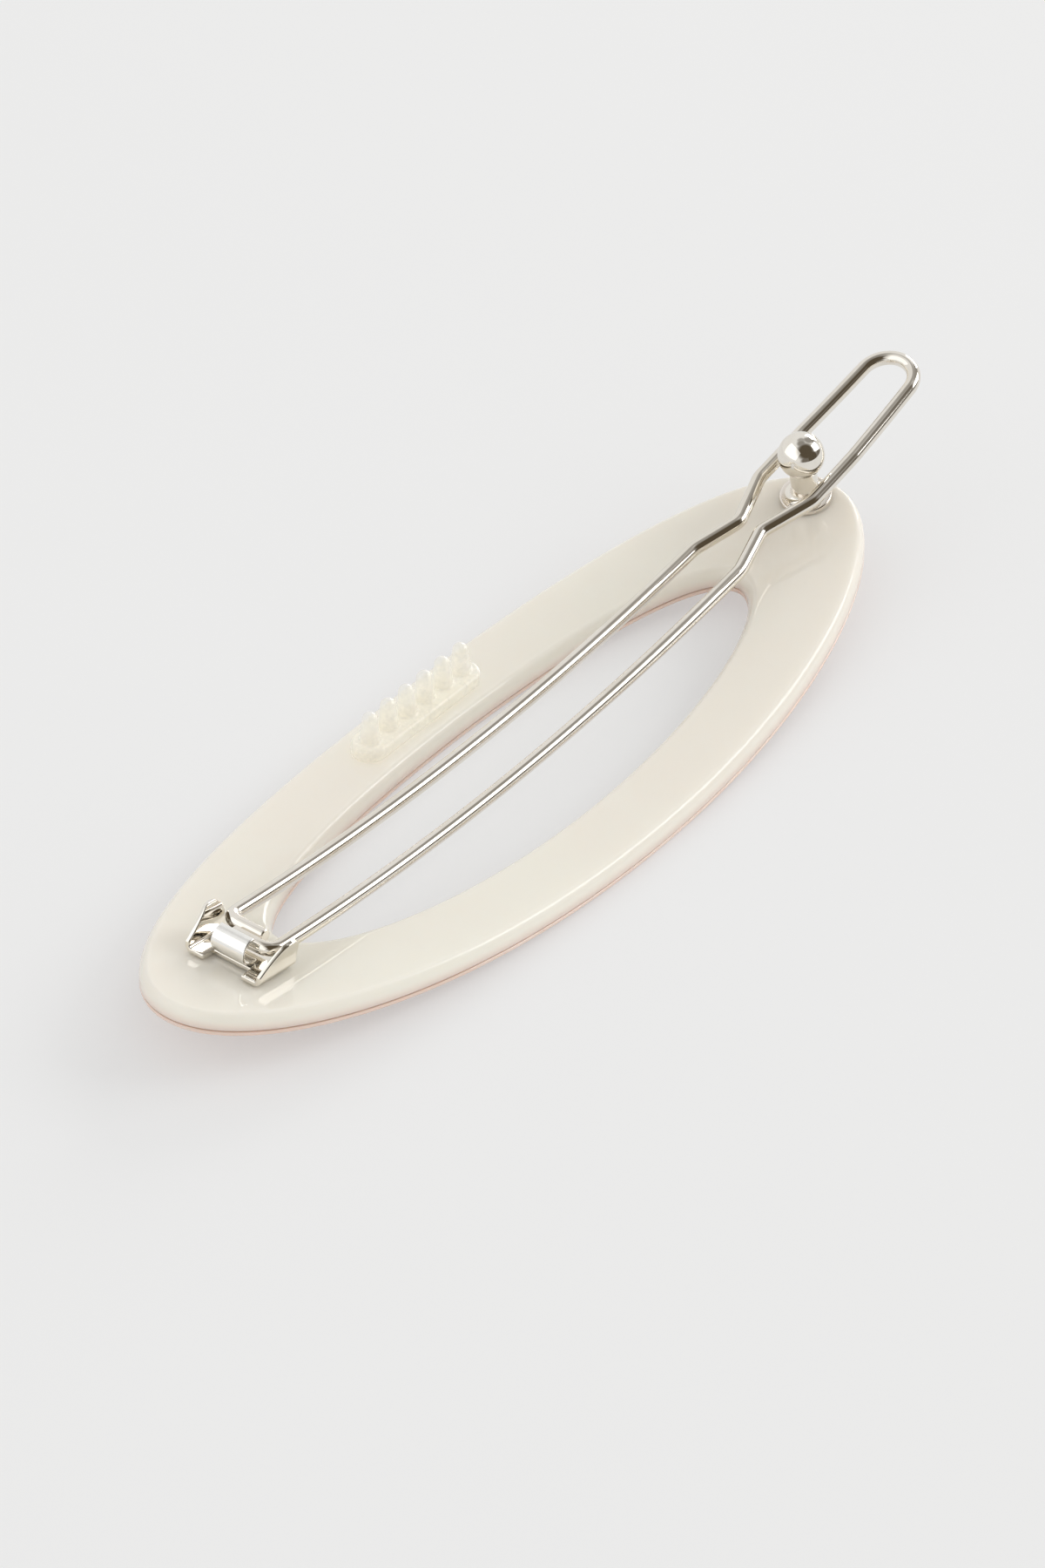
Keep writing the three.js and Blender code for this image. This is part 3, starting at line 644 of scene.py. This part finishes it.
# foot plate: a flat ring with a rounded upper edge
def makeFoot():
    angle = np.linspace(0, np.pi / 2, post["bevelSteps"])
    bevel, rim = post["footBevel"], post["foot"] / 2
    edge = np.stack([rim - bevel + bevel * np.cos(angle), footTop - bevel + bevel * np.sin(angle)], -1)
    inward = np.linspace(rim - bevel, post["bore"], post["plateSteps"])[1:]
    flat = np.stack([inward, np.full_like(inward, footTop)], -1)
    profile = np.concatenate([[[post["bore"], hinge["bond"]], [rim, hinge["bond"]]], edge, flat])
    grid = turned(profile)
    rows, columns = grid.shape[:2]
    makePiece("postPlate", "post_plate", "root", satinNickel, grid.reshape(-1, 3),
              [gridFaces(rows, columns, wrapRows=True)], uv=turnedUv(profile))


makeStud()
makeFoot()


hingeAxis = standOnBack(np.array([[0, 0, axisHeight]]), hinge["x"])[0]
ballCentre = standOnPost([[0, 0, post["ballHeight"]]])[0]
latch = standOnPost([[0, 0, post["ballHeight"] - post["latchDrop"]]])[0]


# height of the wire: a circle of the bow radius, centred above, through the hinge axis and the latch
def wireHeight(x):
    chord = (latch - hingeAxis)[[0, 2]]
    rise = np.sqrt(wire["bowRadius"] ** 2 - chord @ chord / 4)
    up = unit(np.array([-chord[1], chord[0]]))
    centre = (latch + hingeAxis)[[0, 2]] / 2 + up * rise
    return centre[1] - np.sqrt(wire["bowRadius"] ** 2 - (x - centre[0]) ** 2)


# straight runs between corners (x, y, radius), each corner rounded by a quadratic curve tangent to both runs
# that starts radius / tan(half the corner's angle) before it
def roundedLine(corners):
    points, radii = np.array(corners)[:, :2], np.array(corners)[:, 2]
    share = np.linspace(0, 1, wire["bendSteps"])[:, None]
    line = [points[:1]]
    for k in range(1, len(points) - 1):
        back, ahead = unit(points[k - 1] - points[k]), unit(points[k + 1] - points[k])
        tangent = radii[k] / np.tan(np.arccos(np.clip(back @ ahead, -1, 1)) / 2)
        start, end = points[k] + back * tangent, points[k] + ahead * tangent
        line.append((1 - share) ** 2 * start + 2 * share * (1 - share) * points[k] + share ** 2 * end)
    return np.concatenate(line + [points[-1:]])


# one leg seen from above, from its turned-in end at endX to the start of the round tip
def wireLeg(endX):
    eye = (post["ball"] + wire["diameter"]) / 2 + wire["eyeClearance"]
    throat, waist, ball = wire["throat"], wire["waist"], ballCentre[0]
    return roundedLine([
        (endX, -wire["endOverlap"], 0), (endX, wire["legSpread"] / 2, wire["endBend"]),
        (ball - throat[0], throat[1] / 2, throat[2]), (ball - waist[0], waist[1] / 2, waist[2]),
        (ball - wire["eyeStart"][0], eye, wire["eyeStart"][1]),
        (ball + wire["eyeEnd"][0], eye, wire["eyeEnd"][1]),
        (wire["tipX"] - wire["tipSpread"] / 2, wire["tipSpread"] / 2, 0)])


# a round section carried along both legs and the half-circle tip; its ends are cut and slightly rounded, and
# the loop leans aside in proportion to the distance from the hinge, so that its eye lies round the ball
def makeWire():
    tipRadius = wire["tipSpread"] / 2
    angle = np.linspace(np.pi / 2, -np.pi / 2, wire["tipSteps"])[1:-1]
    tip = np.stack([wire["tipX"] - tipRadius + tipRadius * np.cos(angle), tipRadius * np.sin(angle)], -1)
    otherLeg = wireLeg(hingeAxis[0] - endOffset)[::-1] * np.array([1, -1])
    plan = np.concatenate([wireLeg(hingeAxis[0] + endOffset), tip, otherLeg])
    plan = pointsAt(plan, np.linspace(0, arcLength(plan)[-1], wire["stations"] * 2))
    plan[:, 1] += ballCentre[1] * (plan[:, 0] - hingeAxis[0]) / (ballCentre[0] - hingeAxis[0])
    line = np.concatenate([plan, wireHeight(plan[:, :1])], -1)
    total = arcLength(line)[-1]
    edge = wire["endRound"]
    ends = edge * (1 - np.cos(np.linspace(0, np.pi / 2, wire["endSteps"])))
    stations = np.concatenate([ends, np.linspace(edge * 2, total - edge * 2, wire["stations"]),
                               total - ends[::-1]])
    path = pointsAt(line, stations)
    tangent = unit(np.gradient(path, stations, axis=0))
    side = unit(np.cross([0.0, 0.0, 1.0], tangent))
    up = np.cross(tangent, side)
    radius = wireRadius + roundedEdge(np.minimum(stations, total - stations), edge)
    turn = np.arange(wire["sides"]) / wire["sides"] * 2 * np.pi
    around = side[:, None] * np.cos(turn)[None, :, None] + up[:, None] * np.sin(turn)[None, :, None]
    grid = path[:, None] + around * radius[:, None, None]
    points, faces = closedTube(grid, path[[0, -1]])
    uv = np.stack([stations[:, None] + 0 * turn, turn / (2 * np.pi) + 0 * stations[:, None]], -1)
    makePiece("wireLoop", "wire_loop", "wire", drawnNickel, points, faces,
              uv=np.concatenate([uv.reshape(-1, 2), [[0, 0], [0, 0]]]))


makeWire()


comb = {"x": 0.25, "y": 10.35, "bond": 0.15, "length": 14.9, "depth": 3.2, "base": 1.1, "edge": 0.32,
        "teeth": 6, "pitch": 2.32, "root": 1.8, "tip": 1.35, "height": 3.85, "fillet": 0.22, "rays": 16,
        "domeSteps": 12, "sideSteps": 10, "filletSteps": 8, "stripSteps": 14,
        "wallShares": (0.66, 0.33, 0.06), "bottomShares": (0.985, 0.7, 0.35)}


# distance from a point of the comb's plan to its round-ended outline: half the depth less the distance
# to the segment between the ends' centres
def combInside(x, y):
    beyond = np.maximum(np.abs(x) - (comb["length"] - comb["depth"]) / 2, 0)
    return comb["depth"] / 2 - np.hypot(beyond, y)


# directions of a tooth's rays: evenly spaced from each axis to the corner of its share of the strip
def toothRays():
    corner = np.arctan2(comb["depth"] / 2, comb["pitch"] / 2)
    quarter = np.concatenate([np.linspace(0, corner, comb["rays"], endpoint=False),
                              np.linspace(corner, np.pi / 2, comb["rays"], endpoint=False)])
    mirrored = np.pi - np.append(quarter[1:], np.pi / 2)[::-1]
    upper = np.concatenate([quarter, mirrored])
    theta = np.concatenate([upper, [np.pi], -upper[:0:-1]])
    return np.stack([np.cos(theta), np.sin(theta)], -1)


# a tooth's radius and height: over a dome at its tip, down its tapered side and round a fillet at its root
def toothProfile():
    tipRadius, rootRadius = comb["tip"] / 2, comb["root"] / 2
    shoulder = comb["height"] - tipRadius
    dome = np.linspace(0, np.pi / 2, comb["domeSteps"])[1:]
    taper = (rootRadius - tipRadius) / (shoulder - comb["base"])
    down = np.linspace(shoulder, comb["base"] + comb["fillet"], comb["sideSteps"])[1:]
    bend = np.linspace(0, np.pi / 2, comb["filletSteps"])[1:]
    foot = rootRadius - taper * comb["fillet"]
    radius = np.concatenate([tipRadius * np.sin(dome), tipRadius + (shoulder - down) * taper,
                             foot + comb["fillet"] * (1 - np.cos(bend))])
    height = np.concatenate([shoulder + tipRadius * np.cos(dome), down,
                             comb["base"] + comb["fillet"] * (1 - np.sin(bend))])
    return radius, height


# where each ray leaves a tooth's share of the strip, at a neighbour's line, a long side or a round end, and
# whether that is on the strip's outer edge
def toothReach(k, centre, away):
    half, end = comb["depth"] / 2, (comb["length"] - comb["depth"]) / 2
    toSide = half / np.maximum(np.abs(away[:, 1]), tiny)
    limit = np.minimum(comb["pitch"] / 2 / np.maximum(np.abs(away[:, 0]), tiny), toSide)
    outer = np.abs(away[:, 1]) * limit > half - tiny
    for sign, isEnd in ((-1, k == 0), (1, k == comb["teeth"] - 1)):
        if isEnd:
            facing = away[:, 0] * sign > tiny
            lead = centre - sign * end
            along = lead * away[:, 0]
            toRound = -along + np.sqrt(along ** 2 - lead ** 2 + half ** 2)
            pastEnd = (centre + toSide * away[:, 0]) * sign > end
            limit = np.where(facing, np.where(pastEnd, toRound, toSide), limit)
            outer = outer | facing
    return limit, outer


# each tooth has its own fan of rays: down the tooth, over the strip's top to the edge of the tooth's share of the
# strip, down the wall and in along the bottom; rays on a shared edge meet the neighbour's
def makeComb():
    away, (radius, height) = toothRays(), toothProfile()
    outward = np.sin(np.linspace(0, np.pi / 2, comb["stripSteps"])[1:])
    wall = np.array(comb["wallShares"]) * (comb["base"] - comb["edge"])
    bottom = np.array(comb["bottomShares"])
    every = np.ones((len(away), 1))
    points, quads, triangles, count = [], [], [], 0
    for k in range(comb["teeth"]):
        centre = (k - (comb["teeth"] - 1) / 2) * comb["pitch"]
        limit, outer = toothReach(k, centre, away)
        strip = radius[-1] + (limit[:, None] - radius[-1]) * outward[None]
        topR = np.concatenate([every * radius, strip], 1)
        x, y = centre + topR * away[:, :1], topR * away[:, 1:]
        drop = roundedEdge(np.maximum(combInside(x, y), 0), comb["edge"])
        z = np.concatenate([every * height, comb["base"] + drop[:, len(radius):]], 1)
        edgeX, edgeY = centre + limit * away[:, 0], limit * away[:, 1]
        onWall = np.ones_like(wall)
        x = np.concatenate([x, edgeX[:, None] * onWall, centre + (edgeX - centre)[:, None] * bottom], 1)
        y = np.concatenate([y, edgeY[:, None] * onWall, edgeY[:, None] * bottom], 1)
        z = np.concatenate([z, every * wall, every * bottom * 0], 1)
        # a shared line has no wall: its bottom row starts right under the line
        x[~outer, -len(bottom)], y[~outer, -len(bottom)] = edgeX[~outer], edgeY[~outer]
        grid = np.stack([x, y, z], -1)
        rays, steps = grid.shape[:2]
        faces = gridFaces(rays, steps, wrapRows=True, wrapColumns=False, start=count)
        step = np.tile(np.arange(steps - 1), rays)
        ray = np.repeat(np.arange(rays), steps - 1)
        inWall = (step >= topR.shape[1] - 1) & (step < topR.shape[1] + len(wall))
        shared = ~(outer[ray] & outer[(ray + 1) % rays])
        quads.append(faces[~(inWall & shared)])
        points += [grid.reshape(-1, 3), [[centre, 0, comb["height"]], [centre, 0, 0]]]
        firsts = count + np.arange(rays) * steps
        tip, under = count + rays * steps, count + rays * steps + 1
        triangles += [poleFaces(tip, firsts, True), poleFaces(under, firsts + steps - 1, False)]
        count += rays * steps + 2
    seat = np.array([comb["x"], comb["y"], backFace(comb["length"] / 2 + comb["x"]) + comb["bond"]])
    # neighbours' points on a shared line are made one, and points of the left-out walls are dropped
    points = np.concatenate([np.asarray(p) for p in points])
    faceGroups = [np.concatenate(quads), np.concatenate(triangles)]
    _, first, same = np.unique(np.round(points, 5), axis=0, return_index=True, return_inverse=True)
    same = same.ravel()
    used = np.unique(np.concatenate([same[faces].ravel() for faces in faceGroups]))
    place = np.zeros(len(first), int)
    place[used] = np.arange(len(used))
    makePiece("gripComb", "grip_comb", "root", clearResin, points[first[used]] + seat,
              [place[same[faces]] for faces in faceGroups], sharpAngle=60)


makeComb()


floorLook = {"size": 14.0, "lines": 9, "below": 0.00001,
             "tint": (0.84, 0.84, 0.838, 1), "otherTint": (0.825, 0.825, 0.823, 1),
             "glow": (0.88, 0.88, 0.878, 1), "glowShare": 0.44}


# a matt paper floor, lit a little from below as a light table is: a flat grid just under the clip
def makeFloor():
    lines = floorLook["lines"]
    edge = np.linspace(-floorLook["size"] / 2, floorLook["size"] / 2, lines)
    x, y = np.meshgrid(edge, edge, indexing="ij")
    points = np.stack([x, y, 0 * x - floorLook["below"]], -1).reshape(-1, 3)
    mesh = bpy.data.meshes.new("floor")
    mesh.from_pydata(points.tolist(), [], gridFaces(lines, lines, wrapColumns=False).tolist())
    mesh.update()
    floor = bpy.data.objects.new("floor", mesh)
    scene.collection.objects.link(floor)
    material, tree, shader = newMaterial("paperFloor", {"Roughness": 0.75, "Specular IOR Level": 0.25})
    place = addNode(tree, "TexCoord").outputs["Object"]
    tint = placeGroup(tree, tintDrift, {"Vector": place, "Scale": 4.0, "Mottle": 0.2,
                                        "Tint": floorLook["tint"], "Other tint": floorLook["otherTint"]})
    tree.links.new(tint.outputs["Color"], shader.inputs["Base Color"])
    path = addNode(tree, "LightPath").outputs
    seen = maths(tree, "MAXIMUM", maths(tree, "MAXIMUM", path["Is Camera Ray"], path["Is Glossy Ray"]),
                 path["Is Transmission Ray"])
    glow = addNode(tree, "Emission", None, {"Color": floorLook["glow"]})
    mix = addNode(tree, "MixShader", None, {0: maths(tree, "MULTIPLY", seen, floorLook["glowShare"]),
                                            1: shader.outputs["BSDF"], 2: glow.outputs["Emission"]})
    tree.links.new(mix.outputs["Shader"], tree.nodes["Material Output"].inputs["Surface"])
    mesh.materials.append(material)


makeFloor()

# four soft boxes: the key on the near right, a broad weak fill behind on the left, a small bright one on the right,
# and a weak one on the near left that doesn't show in mirrors; a level is the radiance of a box's face
upright = (0.0, 0.0, 1.0)
boxDistance = 2.0
softBoxes = {"key": {"towards": (0.72, -0.51, 0.47), "tall": (0.0, 0.68, 0.73),
                     "width": 1.2, "height": 0.95, "level": 3.3, "mirrored": True},
             "fill": {"towards": (-0.74, 0.34, 0.58), "tall": upright,
                      "width": 3.2, "height": 2.0, "level": 0.46, "mirrored": True},
             "side": {"towards": (0.92, 0.20, 0.33), "tall": upright,
                      "width": 0.9, "height": 0.8, "level": 4.1, "mirrored": True},
             "near": {"towards": (-0.35, -0.88, 0.32), "tall": upright,
                      "width": 3.0, "height": 1.0, "level": 0.62, "mirrored": False}}
# a pale room with dark places: a direction, the angles at which each starts and ends fading, and a strength;
# matt surfaces get a share of the room's light, and see only a share of the dark places
room = {"colour": (0.88, 0.877, 0.87, 1), "darkColour": (0.10, 0.08, 0.055, 1),
        "mattShare": 0.74, "darkShare": 0.08,
        "darkPlaces": [((-0.20, -0.62, 0.76), 27, 54, 1.0), ((0.10, -0.97, 0.20), 20, 36, 1.0),
                       ((-0.45, -0.85, 0.10), 16, 34, 0.9), ((0.05, 0.05, 1.0), 10, 24, 0.75),
                       ((0.30, 0.24, 0.92), 8, 20, 0.6), ((0.61, -0.02, 0.79), 9, 20, 0.7),
                       ((0.82, -0.04, 0.57), 9, 20, 0.7), ((0.70, -0.70, 0.06), 11, 24, 0.9)]}


# a lamp that faces the clip; its power is pi times its area times its level
def makeSoftBox(name, box):
    lamp = bpy.data.lights.new(name, "AREA")
    lamp.shape, lamp.size, lamp.size_y = "RECTANGLE", box["width"], box["height"]
    lamp.energy = np.pi * box["width"] * box["height"] * box["level"]
    away, tall = unit(np.array(box["towards"])), np.array(box["tall"])
    tall = unit(tall - away * (tall @ away))
    light = bpy.data.objects.new(name, lamp)
    turn = Matrix((np.cross(tall, away), tall, away)).transposed().to_4x4()
    light.matrix_world = Matrix.Translation(Vector(away * boxDistance)) @ turn
    light.visible_camera, light.visible_glossy = False, box["mirrored"]
    scene.collection.objects.link(light)


# each dark place fades out between two angles from its middle, and the darkest one counts
def makeRoom():
    world = bpy.data.worlds.new("room")
    scene.world = world
    world.use_nodes = True
    tree = world.node_tree
    direction = addNode(tree, "TexCoord").outputs["Generated"]
    mask = 0.0
    for middle, inner, outer, strength in room["darkPlaces"]:
        facing = addNode(tree, "VectorMath", {"operation": "DOT_PRODUCT"},
                         {0: direction, 1: unit(np.array(middle))})
        low, high = np.cos(np.radians([outer, inner]))
        place = ramp(tree, facing.outputs["Value"], low, high, 0.0, strength)
        mask = maths(tree, "MAXIMUM", place, mask)
    mirrored = addNode(tree, "LightPath").outputs["Is Glossy Ray"]
    mask = maths(tree, "MULTIPLY", mask, ramp(tree, mirrored, 0.0, 1.0, room["darkShare"], 1.0))
    mix = addNode(tree, "Mix", {"data_type": "RGBA"}, {0: mask, 6: room["colour"], 7: room["darkColour"]})
    background = tree.nodes["Background"]
    tree.links.new(mix.outputs[2], background.inputs["Color"])
    tree.links.new(ramp(tree, mirrored, 0.0, 1.0, room["mattShare"], 1.0), background.inputs["Strength"])


for boxName, box in softBoxes.items():
    makeSoftBox(boxName, box)
makeRoom()
print("floor and light made")

view = {"azimuth": -51.67, "elevation": 38.748, "distance": 650.0, "right": 0.694, "up": -1.189,
        "lens": 185.9, "sensor": (24, 36), "clip": (0.01, 20)}


# the photograph's view through a long lens: back along one direction, and a little aside in the picture's plane
def makeCamera():
    az, el = np.radians(view["azimuth"]), np.radians(view["elevation"])
    back = np.array([np.sin(az) * np.cos(el), -np.cos(az) * np.cos(el), np.sin(el)])
    right = np.array([np.cos(az), np.sin(az), 0])
    up = np.cross(back, right)
    place = toFrame(back * view["distance"] + right * view["right"] + up * view["up"])
    data = bpy.data.cameras.new("camera")
    data.sensor_fit = "VERTICAL"
    data.sensor_width, data.sensor_height = view["sensor"]
    data.lens = view["lens"]
    data.clip_start, data.clip_end = view["clip"]
    camera = bpy.data.objects.new("camera", data)
    turn = Matrix((right, up, back)).transposed().to_4x4()
    camera.matrix_world = Matrix.Translation(Vector(place)) @ turn
    scene.collection.objects.link(camera)
    scene.camera = camera


makeCamera()
scene.view_settings.view_transform = "Standard"

bpy.context.view_layer.update()
